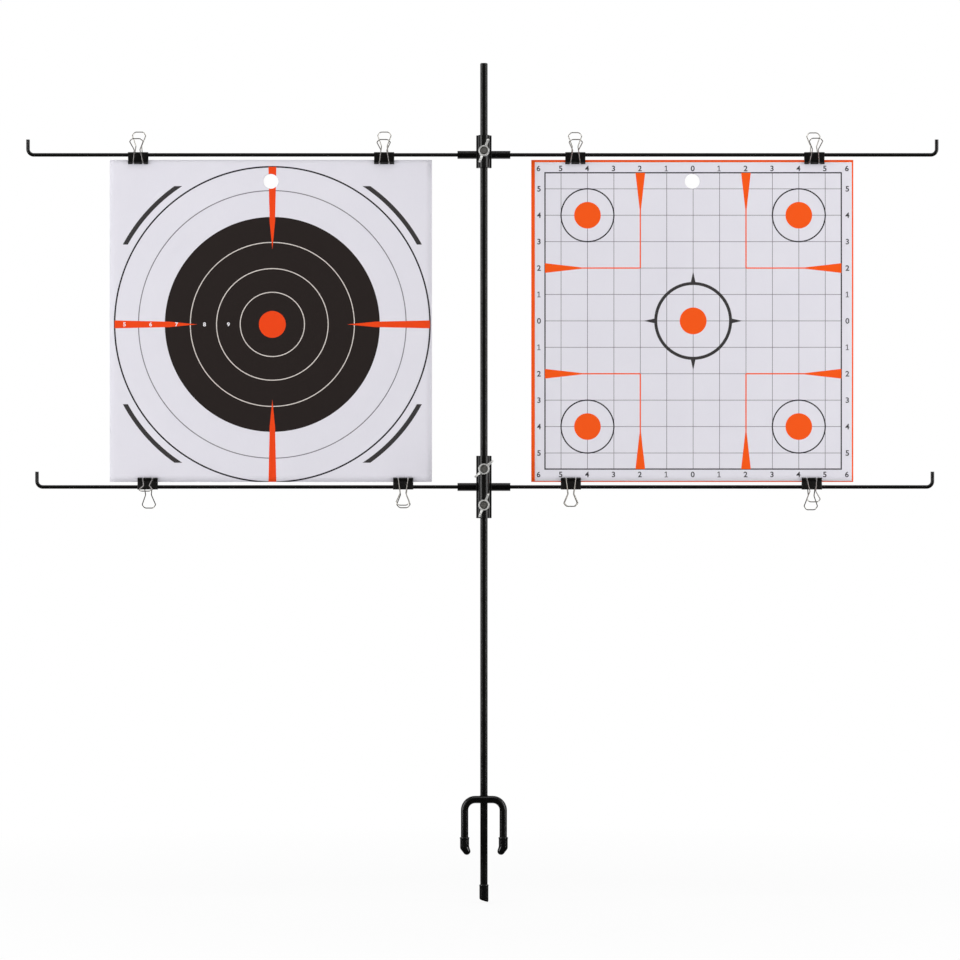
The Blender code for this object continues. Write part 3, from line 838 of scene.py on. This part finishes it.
# %% The card itself
def sheet_mesh(name, front_paint, back_paint):
    """The card about its own middle, in the XZ plane, with a round hole near its top edge."""
    hole_z = HALF - HOLE_DROP
    xs = spaced(-HALF, -HOLE_BLOCK, SIDE_CELLS)
    xs += spaced(-HOLE_BLOCK, HOLE_BLOCK, HOLE_CELLS)
    xs += spaced(HOLE_BLOCK, HALF, SIDE_CELLS) + [HALF]
    zs = spaced(-HALF, hole_z - HOLE_BLOCK, CELLS_BELOW)
    zs += spaced(hole_z - HOLE_BLOCK, hole_z + HOLE_BLOCK, HOLE_CELLS)
    zs += spaced(hole_z + HOLE_BLOCK, HALF, CELLS_ABOVE) + [HALF]
    left, right = SIDE_CELLS, SIDE_CELLS + HOLE_CELLS
    under, over = CELLS_BELOW, CELLS_BELOW + HOLE_CELLS
    sheet = bmesh.new()
    grid = [[sheet.verts.new((x, 0, z)) for z in zs] for x in xs]
    for i in range(len(xs) - 1):
        for j in range(len(zs) - 1):
            if left <= i < right and under <= j < over:
                continue
            sheet.faces.new((grid[i][j], grid[i + 1][j], grid[i + 1][j + 1], grid[i][j + 1]))
    block = [grid[i][under] for i in range(left, right)]
    block += [grid[right][j] for j in range(under, over)]
    block += [grid[i][over] for i in range(right, left, -1)]
    block += [grid[left][j] for j in range(over, under, -1)]
    ring = block
    for share in (0.5, 0.85, 1.0):
        inner = []
        for vertex in block:
            flat = Vector((vertex.co.x, 0, vertex.co.z - hole_z))
            rim = flat.normalized() * HOLE_RADIUS
            spot = flat.lerp(rim, share) + Vector((0, 0, hole_z))
            inner.append(sheet.verts.new(spot))
        for i in range(len(ring)):
            j = (i + 1) % len(ring)
            sheet.faces.new((ring[i], ring[j], inner[j], inner[i]))
        ring = inner
    inside = [grid[i][j] for i in range(left + 1, right) for j in range(under + 1, over)]
    bmesh.ops.delete(sheet, geom=inside, context="VERTS")
    for vertex in sheet.verts:
        vertex.co.y = bow(vertex.co.x, vertex.co.z)
    mesh = written(name, sheet)
    mesh.materials.append(front_paint)
    mesh.materials.append(back_paint)
    return smooth(mesh)


print("a card is", 1000 * CARD_SIDE, "mm a side, its hole", 2000 * HOLE_RADIUS, "mm across")

# %% [markdown]
# ## Printing the cards
# The print is worked out in the shader from the distance to the card's middle, so its edges stay
# sharp however near the eye comes. Each ink is a mask of 0 and 1, laid over what is below it. Both
# prints repeat about both axes, so taking `abs` of the place first draws four corners at once.

# %% Ink and paper
ORANGE = shade(236, 66, 4)
BRIGHT_ORANGE = shade(243, 84, 3)
DISC_BLACK = shade(38, 30, 28)
RING_GREY = shade(56, 53, 54)
LINE_DARK = shade(40, 36, 42)
LINE_GREY = shade(124, 120, 127)
PALE_LINE = shade(212, 204, 198)


def fibres_of(finish):
    """The short fibres of the card."""
    return finish.noise(0.0012, detail=4, stretch=(1, 1, 0.3))


def paper_finish(name):
    """Uncoated card: faint clouds, short fibres and a dull surface."""
    paper = Finish(name, Specular_IOR_Level=0.22)
    fibres = fibres_of(paper)
    clouds = paper.noise(0.05, detail=3, seed=6)
    tint = paper.colour(clouds * 0.7 + fibres * 0.3, shade(217, 215, 224), shade(225, 223, 230))
    return paper, fibres, tint


def finish_card(paper, fibres, colour, inked):
    """Bare paper is dull, and ink on it a little less so."""
    return paper.use(
        Base_Color=colour,
        Roughness=0.72 - inked * 0.22 + fibres * 0.1,
        Normal=paper.relief(fibres, 0.00004),
    )


def line_at(distance, middle_of_line, width):
    """A mask that is 1 on a line of this width, all in millimetres."""
    return abs(distance - middle_of_line) < width / 2


print("orange ink", [round(c, 3) for c in ORANGE[:3]])

# %% The scoring print, with rings
SCORING_RIGHT, SCORING_DOWN = 1.4, 3.3
OUTER_RING, BULL = 149.2, 12.7


def scoring_print():
    """A black disc with pale rings, and a wedge that points in from each side."""
    paper, fibres, colour = paper_finish("left_card_print")
    card_x, _, card_z = paper.axes()
    x, z = card_x - SCORING_RIGHT, card_z + SCORING_DOWN
    from_side, from_level = abs(x), abs(z)
    radius = (x * x + z * z) ** 0.5
    along, across = from_side | from_level, from_side & from_level
    outer = line_at(radius, OUTER_RING, 1.5)
    corner_arcs = line_at(radius, 158.3, 4.2) & line_at(from_level, 103.2, 55.4)
    disc = radius < 101.7
    pale = line_at(radius, 30.4, 0.85) | line_at(radius, 52.8, 0.85) | line_at(radius, 77.6, 0.85)
    point, shank = (along - 71) * 0.098, (along - 98) * 0.0225 + 2.6
    wedges = (across < (point & shank)) & (radius < OUTER_RING)
    bull = radius < BULL
    colour = paper.colour(line_at(radius, 126.6, 0.95), colour, LINE_GREY)
    colour = paper.colour(outer, colour, LINE_DARK)
    colour = paper.colour(corner_arcs, colour, RING_GREY)
    colour = paper.colour(disc, colour, DISC_BLACK)
    colour = paper.colour(pale, colour, PALE_LINE)
    colour = paper.colour(wedges | bull, colour, ORANGE)
    return finish_card(paper, fibres, colour, disc | wedges)


print("the outer ring is", 2 * OUTER_RING, "mm across")

# %% The sight-in print, with a grid
SIGHTING_RIGHT = 0.8
GRID_PITCH, FRAME_AT = 25.0, 140.2
CORNER_AT, POINTER_AT = 100, 50
EDGE_AT = 152.4


def sighting_print():
    """A square grid with a ring in its middle, a small target in each corner and pointers."""
    paper, fibres, colour = paper_finish("right_card_print")
    card_x, _, z = paper.axes()
    x = card_x - SIGHTING_RIGHT
    from_side, from_level = abs(x), abs(z)
    along, across = from_side | from_level, from_side & from_level
    radius = (x * x + z * z) ** 0.5
    corner_x, corner_z = from_side - CORNER_AT, from_level - CORNER_AT
    corner_radius = (corner_x * corner_x + corner_z * corner_z) ** 0.5
    inside = along < FRAME_AT
    grid = ((x.fold(GRID_PITCH / 2) < 0.28) | (z.fold(GRID_PITCH / 2) < 0.28)) & inside
    frame_line = line_at(along, FRAME_AT, 1.2)
    thin = line_at(corner_radius, 25, 1.25)
    ring = line_at(radius, 35.4, 2.9)
    spikes = (across < (47 - along) * 0.21) & (along > 36)
    upright = abs(from_side - POINTER_AT) < ((from_level - CORNER_AT) * 0.1145 | 0.6)
    level = abs(from_level - POINTER_AT) < ((from_side - CORNER_AT) * 0.1145 | 0.6)
    pointers = (upright & (from_level > POINTER_AT)) | (level & (from_side > POINTER_AT))
    pointers = pointers & inside
    bulls = (radius < BULL) | (corner_radius < 12.6)
    edges = (card_x < 3.4 - EDGE_AT) | (card_x > EDGE_AT - 1.4)
    edges = edges | (z > EDGE_AT - 2.2) | (z < 1.0 - EDGE_AT)
    colour = paper.colour(grid, colour, LINE_GREY)
    colour = paper.colour(thin | frame_line, colour, LINE_DARK)
    colour = paper.colour(ring | spikes, colour, RING_GREY)
    colour = paper.colour(pointers | bulls | edges, colour, BRIGHT_ORANGE)
    return finish_card(paper, fibres, colour, ring | bulls)


blank_paper, blank_fibres, blank_colour = paper_finish("card_back")
FINISHES["card"] = finish_card(blank_paper, blank_fibres, blank_colour, 0.0)
print("grid of", GRID_PITCH, "mm in a frame of", 2 * FRAME_AT, "mm")

# %% [markdown]
# ## Numerals
# Drawing digits with sums would be long and hard to read, so they are set from Blender's own
# typeface instead, turned to flat faces and laid a hair in front of the card. They follow the
# card's bow, because every corner of every digit is moved by the same function.


# %% Ink of the digits
def ink(name, colour):
    """A flat ink with the paper's fibres showing through a little."""
    film = Finish(name, Specular_IOR_Level=0.3, Roughness=0.55)
    thin = tuple(c * 0.8 + 0.15 for c in colour[:3]) + (1,)
    return film.use(Base_Color=film.colour(fibres_of(film) * 0.25, colour, thin))


white_ink = ink("white_ink", shade(238, 236, 240))
dark_ink = ink("dark_ink", shade(46, 42, 48))
print("inks:", white_ink.name, dark_ink.name)

# %% Shapes of the digits
DIGIT_WEIGHT = 0.02


def digit_shape(text):
    """The digit's outline faces about its own middle, one unit high."""
    curve = bpy.data.curves.new("digit_" + text, "FONT")
    curve.body = text
    curve.fill_mode = "FRONT"
    curve.offset = DIGIT_WEIGHT
    mesh = curve_to_mesh("digit_" + text, curve)
    points = [vertex.co.copy() for vertex in mesh.vertices]
    low_x, high_x = min(p.x for p in points), max(p.x for p in points)
    low_y, high_y = min(p.y for p in points), max(p.y for p in points)
    tall = high_y - low_y
    middle_x, middle_y = (low_x + high_x) / 2, (low_y + high_y) / 2
    corners = [((p.x - middle_x) / tall, (p.y - middle_y) / tall) for p in points]
    faces = [tuple(face.vertices) for face in mesh.polygons]
    bpy.data.meshes.remove(mesh)
    return corners, faces


def drawn_one():
    """A 1 with a flag and a foot, which the typeface leaves out: stem, foot and flag."""
    stem = [(-0.07, -0.39), (0.07, -0.39), (0.07, 0.5), (-0.07, 0.5)]
    foot = [(-0.27, -0.5), (0.27, -0.5), (0.27, -0.39), (-0.27, -0.39)]
    flag = [(-0.27, 0.2), (-0.07, 0.34), (-0.07, 0.5), (-0.27, 0.35)]
    return stem + foot + flag, [(0, 1, 2, 3), (4, 5, 6, 7), (8, 9, 10, 11)]


DIGITS = {text: digit_shape(text) for text in "023456789"}
DIGITS["1"] = drawn_one()
print(len(DIGITS), "digits drawn")

# %% Setting them on a card
INK_STANDS_OFF = 0.00025


def numerals_mesh(name, labels, height, stretch, material):
    """Labels are (text, x, z) in millimetres from the card's middle. Stretch widens the digits."""
    film = bmesh.new()
    for text, at_x, at_z in labels:
        corners, faces = DIGITS[text]
        made = []
        for x, z in corners:
            place_x = (at_x + x * height * stretch) / 1000
            place_z = (at_z + z * height) / 1000
            place_y = bow(place_x, place_z) - INK_STANDS_OFF
            made.append(film.verts.new((place_x, place_y, place_z)))
        for face in faces:
            film.faces.new([made[i] for i in face])
    bmesh.ops.recalc_face_normals(film, faces=film.faces)
    for face in film.faces:
        if face.normal.y > 0:
            face.normal_flip()
    mesh = written(name, film)
    mesh.materials.append(material)
    return mesh


print("digits stand", 1000 * INK_STANDS_OFF, "mm off the card's middle plane")

# %% Where the digits stand
SCORES = [("5", -139.9), ("6", -115.2), ("7", -90.6), ("8", -64.2), ("9", -41.6)]
SCORES = [(text, x + SCORING_RIGHT, -SCORING_DOWN) for text, x in SCORES]
RULERS = []
RULER_AT, RULER_LEVEL = 145.9, 144.8
LAST = 6
for step in range(-LAST, LAST + 1):
    text = str(abs(step))
    line = GRID_PITCH * step if abs(step) < LAST else RULER_AT * step / LAST
    for way in (-1, 1):
        RULERS.append((text, line + SIGHTING_RIGHT - 0.4, way * RULER_LEVEL - 0.5))
        if abs(step) < LAST:
            RULERS.append((text, way * RULER_AT + SIGHTING_RIGHT, line))
print(len(SCORES), "score digits and", len(RULERS), "ruler digits")

# %% Both cards
CARDS = {
    "left": (scoring_print, SCORES, 3.8, 1.12, white_ink),
    "right": (sighting_print, RULERS, 5.3, 1.06, dark_ink),
}
for side, (make_print, labels, height, stretch, label_ink) in CARDS.items():
    node = side + "_target_card"
    at = Matrix.Translation(middle(node))
    sheet = sheet_mesh(side + "_card_sheet", make_print(), FINISHES["card"])
    card = piece(side + "_card_sheet", sheet, "crossarm", "card", at, instead_of=node)
    thick = card.modifiers.new("paper", "SOLIDIFY")
    thick.thickness = CARD_THICKNESS
    thick.offset = 0
    thick.material_offset = 1
    thick.material_offset_rim = 1
    digits = numerals_mesh(side + "_card_numerals", labels, height, stretch, label_ink)
    piece(side + "_card_numerals", digits, "crossarm", "card", at)
    print(side, "card at", [round(v, 4) for v in middle(node)])

# %% [markdown]
# ## Wing screws
# The heads are small castings: hub and wings run into each other without a sharp line, and all
# edges are round. Hub and two wings are joined with Boolean steps, Remesh turns the result into
# even small faces, and a Smooth step melts them together like poured metal.

# %% The hub
HUB_BACK, HUB_FRONT = 0.00735, 0.01585
HUB_LENGTH = HUB_FRONT - HUB_BACK
HUB_BORE, HUB_FLANGE = 0.0037, 0.0052
hub_profile = [
    (HUB_BORE, HUB_BACK),
    (HUB_FLANGE, HUB_BACK),
    (HUB_FLANGE, HUB_BACK + 0.0012),
    (0.0050, HUB_BACK + 0.0020),
    (0.0049, HUB_FRONT),
    (0.0039, HUB_FRONT),
    (HUB_BORE, HUB_FRONT - 0.0008),
    (HUB_BORE, HUB_BACK),
]
print("a hub is", round(1000 * HUB_LENGTH, 2), "mm long")


# %% One wing
def ear_mesh(name):
    """One wing, as a plate that thins towards its tip, standing on the hub's side."""
    tip, shoulder, root = 0.0120, HUB_FLANGE + 0.0022, 0.0039
    corners = [
        ((root, 0.0010, 0), 0),
        ((shoulder, 0.0010, 0), 0.0019),
        ((tip, HUB_LENGTH - 0.0032, 0), 0.0019),
        ((tip - 0.0010, HUB_LENGTH + 0.0045, 0), 0.0019),
        ((shoulder, HUB_LENGTH + 0.0013, 0), 0.0019),
        ((root, HUB_LENGTH - 0.0010, 0), 0),
    ]
    outline = bent_path(corners, radians(15))
    solid = bmesh.new()
    sides = []
    for way in (-1, 1):
        row = []
        for point in outline:
            half_thick = 0.00120 - 0.00030 * (point.x - root) / (tip - root)
            row.append(solid.verts.new((point.x, way * half_thick, point.y + HUB_BACK)))
        sides.append(row)
        solid.faces.new(row)
    count = len(outline)
    for i in range(count):
        j = (i + 1) % count
        solid.faces.new((sides[0][i], sides[0][j], sides[1][j], sides[1][i]))
    bmesh.ops.recalc_face_normals(solid, faces=solid.faces)
    return written(name, solid)


# %% Several meshes poured into one
def poured(name, meshes, grain, rounds):
    """Closed meshes melted into one smooth one, whose faces are about this large in metres."""
    cast = bpy.data.objects.new(name, meshes[0])
    scene.collection.objects.link(cast)
    others = []
    for number, mesh in enumerate(meshes[1:]):
        other = bpy.data.objects.new(f"{name}_{number}", mesh)
        scene.collection.objects.link(other)
        join = cast.modifiers.new("join", "BOOLEAN")
        join.operation = "UNION"
        join.solver = "EXACT"
        join.object = other
        others.append(other)
    even = cast.modifiers.new("even_faces", "REMESH")
    even.mode = "VOXEL"
    even.voxel_size = grain
    melt = cast.modifiers.new("melt", "SMOOTH")
    melt.iterations = rounds
    melt.factor = 0.5
    bpy.context.view_layer.update()
    graph = bpy.context.evaluated_depsgraph_get()
    mesh = bpy.data.meshes.new_from_object(cast.evaluated_get(graph))
    mesh.name = name
    for other in others + [cast]:
        bpy.data.objects.remove(other)
    mesh.materials.clear()
    mesh.shade_smooth()
    return mesh


# %% A whole head
HEAD_GRAIN = 0.00022


def wing_head():
    """A hub with a wing on each side."""
    hub = lathe("hub", hub_profile)
    right_ear = ear_mesh("right_ear")
    left_ear = ear_mesh("left_ear")
    left_ear.transform(Matrix.Rotation(pi, 4, "Z"))
    return poured("wing_head", [hub, right_ear, left_ear], HEAD_GRAIN, 6)


head_shape = wing_head()
print("a head has", len(head_shape.polygons), "faces")

# %% Three screws
# How far each head is turned, in degrees.
SCREWS = {"upper_clamp": 69, "lower_clamp_top": 42, "lower_clamp_bottom": 68}
for screw, angle in SCREWS.items():
    centre = middle(screw + "_stud")
    centre.y = 0
    turn = Matrix.Rotation(pi / 2, 4, "X") @ Matrix.Rotation(radians(angle), 4, "Z")
    head = head_shape.copy()
    head.name = screw + "_cast"
    piece(
        screw + "_cast",
        head,
        screw,
        "zinc",
        Matrix.Translation(centre) @ turn,
        instead_of=screw + "_wings",
    )
    print(screw, "is turned by", angle, "degrees")

# %% [markdown]
# ## Dipped caps
# The ends that go into the ground are dipped in vinyl: a skin with a soft rim where it stops.
# They are poured in the same way as the wing heads, from plain bars. The stake's cap is cut at a
# slant, as the stake itself is. A row of shrinking balls makes the blunt tip of each prong's cap,
# which leans inwards.

# %% Rims and balls
CAP_WALL = 0.0005
CAP_RADIUS = BAR_RADIUS + GAP + CAP_WALL
CAP_GRAIN = 0.00028
RIM_RADIUS, RIM_DROP = CAP_RADIUS - 0.0003, 0.0008


def rim_mesh(name, radius, thick):
    """A soft ring about Z at the mouth of a cap."""
    turns = [radians(15) * i for i in range(24)]
    profile = [(radius + thick * cos(t), thick * 1.6 * sin(t)) for t in turns]
    return lathe(name, profile + [profile[0]])


def ball_mesh(name, place, radius):
    """A round ball, closed."""
    ball = bmesh.new()
    bmesh.ops.create_icosphere(
        ball, subdivisions=4, radius=radius, matrix=Matrix.Translation(place)
    )
    return written(name, ball)


print("a cap is", round(2000 * CAP_RADIUS, 2), "mm across")

# %% The stake's cap
STAKE_DEPTH, STAKE_SLANT = 0.0939, radians(17)
SPARE_END, CUT_EDGE = 0.006, 0.0013


def stake_cap_mesh():
    """A turned bar, drawn too long and then cut at the stake's slant."""
    low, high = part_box("stake_cap")
    start = low.z - SPARE_END
    outline = [(0, start), (CAP_RADIUS, start), (CAP_RADIUS, high.z), (0, high.z)]
    body = lathe("stake_cap_body", outline)
    cut = bmesh.new()
    cut.from_mesh(body)
    rise = CAP_RADIUS * tan(STAKE_SLANT)
    bmesh.ops.bisect_plane(
        cut,
        geom=cut.verts[:] + cut.edges[:] + cut.faces[:],
        plane_co=(0, 0, rise - STAKE_DEPTH),
        plane_no=(-sin(STAKE_SLANT), 0, -cos(STAKE_SLANT)),
        clear_outer=True,
    )
    end_face = bmesh.ops.holes_fill(cut, edges=cut.edges)["faces"][0]
    bmesh.ops.bevel(
        cut, geom=end_face.edges[:], offset=CUT_EDGE, segments=4, profile=0.5, affect="EDGES"
    )
    cut.to_mesh(body)
    cut.free()
    rim = rim_mesh("stake_cap_rim", RIM_RADIUS, 0.0005)
    rim.transform(Matrix.Translation((0, 0, high.z - RIM_DROP)))
    return poured("stake_cap_dipped", [body, rim], CAP_GRAIN, 9)


piece("stake_cap_dipped", stake_cap_mesh(), "stake", "vinyl", instead_of="stake_cap")
print("the stake's cap is dipped")

# %% The caps of the two prongs
BEND_RISE, TIP_RISE, TIP_OUT, TIP_TAPER = 0.0004, 0.0013, 0.0005, 0.0008


def prong_cap_mesh(name, way):
    """A straight bar, with balls from its end to the tip."""
    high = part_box(name)[1]
    bend = Vector((way * prong_x, bar_y, hook_top + BEND_RISE))
    tip = Vector((way * (hook_x + TIP_OUT), bar_y, prong_end + TIP_RISE))
    straight = [Vector((way * prong_x, bar_y, high.z)), bend]
    body = bar_mesh(name + "_body", straight, CAP_RADIUS, 32)
    rim = rim_mesh(name + "_rim", RIM_RADIUS, 0.0006)
    rim.transform(Matrix.Translation((way * prong_x, bar_y, high.z - RIM_DROP)))
    parts = [body, rim]
    for share in (0, 0.25, 0.5, 0.75, 1):
        radius = CAP_RADIUS - TIP_TAPER * share
        parts.append(ball_mesh(f"{name}_ball", bend.lerp(tip, share), radius))
    return poured(name + "_dipped", parts, CAP_GRAIN, 8)


for side, way in (("left", -1), ("right", 1)):
    node = side + "_prong_cap"
    piece(node + "_dipped", prong_cap_mesh(node, way), "stake", "vinyl", instead_of=node)
    print(node, "is dipped")

# %% [markdown]
# ## Welds
# The step bar is welded to the post, and each cross tube to its bracket. A weld is laid down in
# small overlapping pools, so a bead is a row of balls melted together, then painted over with
# the rest.

# %% Weld beads
BEAD_GRAIN = 0.0002
UNEVEN = 0.12


def bead_mesh(name, start, end, radius, pools):
    """A row of overlapping pools of metal from start to end, each a little different."""
    solid = bmesh.new()
    start, end = Vector(start), Vector(end)
    for i in range(pools):
        share = i / (pools - 1)
        size = radius * (1 + UNEVEN * sin(5.1 * i + 1.3))
        spot = start.lerp(end, share) + Vector((0, 0, UNEVEN * radius * sin(3.7 * i)))
        bmesh.ops.create_icosphere(
            solid, subdivisions=3, radius=size, matrix=Matrix.Translation(spot)
        )
    return poured(name, [written(name, solid)], BEAD_GRAIN, 3)


print("the pools of a bead differ by", round(100 * UNEVEN), "percent")

# %% Where the beads lie
STEP_WELD_X, STEP_WELD_Y = 0.0033, -0.0039
TUBE_WELD_X, TUBE_WELD_Y, TUBE_WELD_Z = 0.0060, 0.0065, 0.0029
# Name, body, start, end, radius of a pool and how many pools.
BEADS = []
for side, way in (("left", -1), ("right", 1)):
    start, end = ((way * STEP_WELD_X, STEP_WELD_Y, z) for z in (0.0010, 0.0061))
    BEADS.append((f"step_weld_{side}", "stake", start, end, 0.0012, 7))
for level, body in (("lower", "stake"), ("upper", "crossarm")):
    centre = middle(level + "_cross_tube")
    for edge, way in (("under", -1), ("over", 1)):
        z = centre.z + way * TUBE_WELD_Z
        ends = (-TUBE_WELD_X, TUBE_WELD_Y, z), (TUBE_WELD_X, TUBE_WELD_Y, z)
        BEADS.append((f"{level}_tube_weld_{edge}", body, *ends, 0.0010, 13))
for name, body, start, end, radius, pools in BEADS:
    piece(name, bead_mesh(name, start, end, radius, pools), body, "bracket_paint")
print(len(BEADS), "weld beads")
